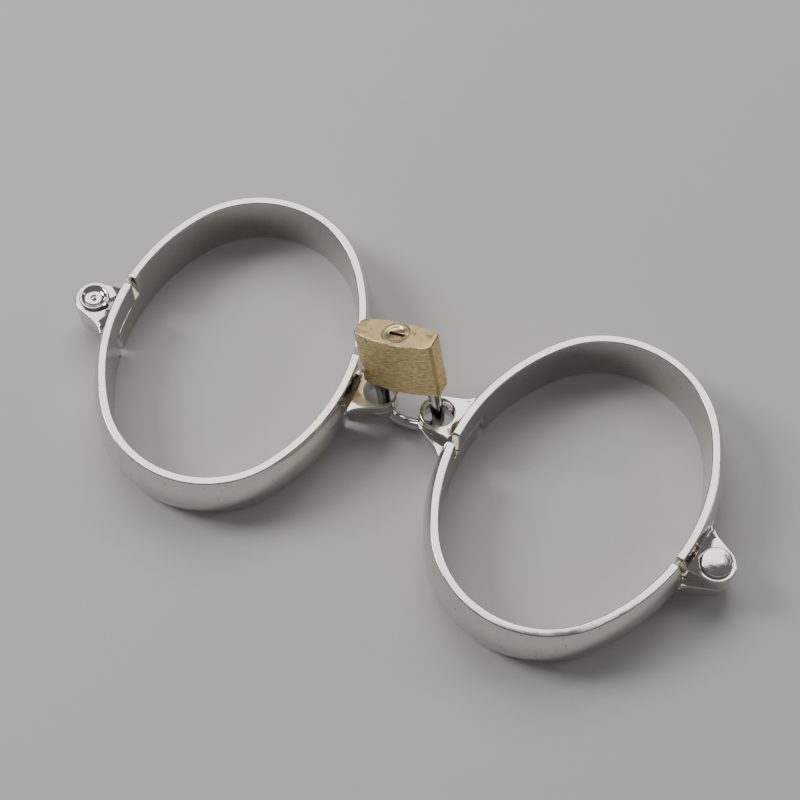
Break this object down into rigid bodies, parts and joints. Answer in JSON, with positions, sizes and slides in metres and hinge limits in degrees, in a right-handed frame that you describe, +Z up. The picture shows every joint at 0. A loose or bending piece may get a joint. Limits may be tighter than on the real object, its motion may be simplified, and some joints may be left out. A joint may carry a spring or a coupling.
{
  "type": "handcuffs",
  "caption": "Rigid oval wrist cuffs, each of riveted half-bands with stacked ears, closed and joined by a small brass padlock through their lock ears.",
  "frame": {"origin": "midway between the two hinges, on the surface that the cuffs lie on", "axes": "+X from the left cuff's hinge to the right cuff's hinge, +Z up, away from the surface"},
  "size_m": [0.1708, 0.0842, 0.0333],
  "materials": {
    "polished_nickel": "mirror polished nickel plate",
    "rivet_nickel": "polished nickel plate",
    "shackle_chrome": "polished chrome plate",
    "brushed_brass": "brushed brass",
    "plug_brass": "satin turned brass",
    "pin_brass": "plain brass",
    "pin_steel": "plain steel",
    "spring_steel": "spring wire"
  },
  "bodies": {
    "shackle": {"shackle": "shackle_chrome"},
    "lock_body": {"lock_body": "brushed_brass", "latch_bore_cap": "pin_brass", "latch_spring": "spring_steel", "shackle_spring": "spring_steel", "heel_pin": "pin_brass", "plug_pin": "pin_brass", "driver_pin_1": "pin_steel", "driver_pin_2": "pin_steel", "driver_pin_3": "pin_steel", "pin_spring_1": "spring_steel", "pin_spring_2": "spring_steel", "pin_spring_3": "spring_steel", "pin_chamber_cap_1": "pin_brass", "pin_chamber_cap_2": "pin_brass", "pin_chamber_cap_3": "pin_brass"},
    "plug": {"cylinder_plug": "plug_brass", "key_pin_1": "pin_brass", "key_pin_2": "pin_brass", "key_pin_3": "pin_brass"},
    "latch": {"latch_bolt": "pin_steel"},
    "left_cuff": {"left_far_half": "polished_nickel", "left_hinge_rivet": "rivet_nickel"},
    "left_half": {"left_near_half": "polished_nickel"},
    "right_cuff": {"right_near_half": "polished_nickel", "right_hinge_rivet": "rivet_nickel"},
    "right_half": {"right_far_half": "polished_nickel"}
  },
  "joints": [
    {"name": "key_turn", "type": "hinge", "parent": "lock_body", "child": "plug", "pos_m": [-0.00178, 0.00624, 0.01568], "axis": [0.2672, -0.2086, -0.9408], "range_deg": [0, 90.05]},
    {"name": "latch_draw", "type": "slide", "parent": "lock_body", "child": "latch", "axis": [0.9636, 0.0578, 0.2609], "range_m": [0, 0.00184], "deforming": ["latch_spring"]},
    {"name": "shackle_release", "type": "slide", "parent": "shackle", "child": "lock_body", "axis": [-0.2672, 0.2086, 0.9408], "range_m": [0, 0.006], "deforming": ["shackle_spring"]},
    {"name": "left_cuff_swing", "type": "hinge", "parent": "shackle", "child": "left_cuff", "pos_m": [-0.0076, 0.00387, 0.00775], "axis": [0, 0, 1], "range_deg": [-30, 30]},
    {"name": "right_cuff_swing", "type": "hinge", "parent": "shackle", "child": "right_cuff", "pos_m": [0.0076, 0.00387, 0.00775], "axis": [0, 0, 1], "range_deg": [-30, 30]},
    {"name": "left_cuff_hinge", "type": "hinge", "parent": "left_cuff", "child": "left_half", "pos_m": [-0.0808, -0.00383, 0.00775], "axis": [0, 0, -1], "range_deg": [-1, 0.6]},
    {"name": "right_cuff_hinge", "type": "hinge", "parent": "right_cuff", "child": "right_half", "pos_m": [0.0808, -0.00383, 0.00775], "axis": [0, 0, -1], "range_deg": [-1, 1]}
  ],
  "couplings": [
    {"joint": "key_turn", "follows": "shackle_release", "rad_per_m": 261.8},
    {"joint": "latch_draw", "follows": "shackle_release", "ratio": 0.30641}
  ]
}
